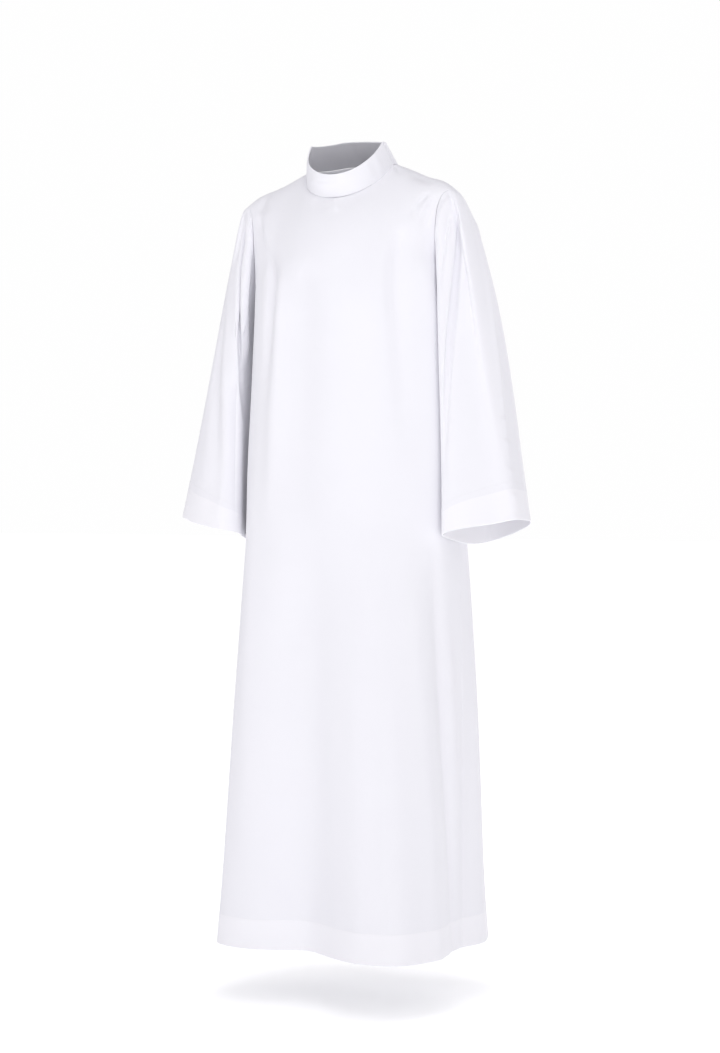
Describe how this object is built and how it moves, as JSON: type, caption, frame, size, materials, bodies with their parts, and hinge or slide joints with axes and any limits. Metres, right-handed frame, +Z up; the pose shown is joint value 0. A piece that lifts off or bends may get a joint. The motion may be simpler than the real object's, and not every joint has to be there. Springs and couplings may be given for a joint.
{
  "type": "alb robe",
  "caption": "Full-length white alb in a worn pose: hollow A-line body, wide hanging sleeves, turned-up hem and cuffs, and a stand collar.",
  "frame": {"origin": "middle of the neck opening, level with the points where the shoulder seams meet the collar, where the wearer's shoulders and neck hold the robe up", "axes": "+Z up, the front faces -Y, the wearer's left is +X"},
  "size_m": [0.6928, 0.4432, 1.4965],
  "materials": {
    "white_cloth": "smooth plain-weave cloth, pressed, matt with a slight sheen",
    "collar_cloth": "the same cloth, stiffened and edge-stitched"
  },
  "bodies": {
    "root": {"front_panel": "white_cloth", "back_panel": "white_cloth", "sleeve_left": "white_cloth", "sleeve_right": "white_cloth", "collar": "collar_cloth"}
  },
  "joints": []
}
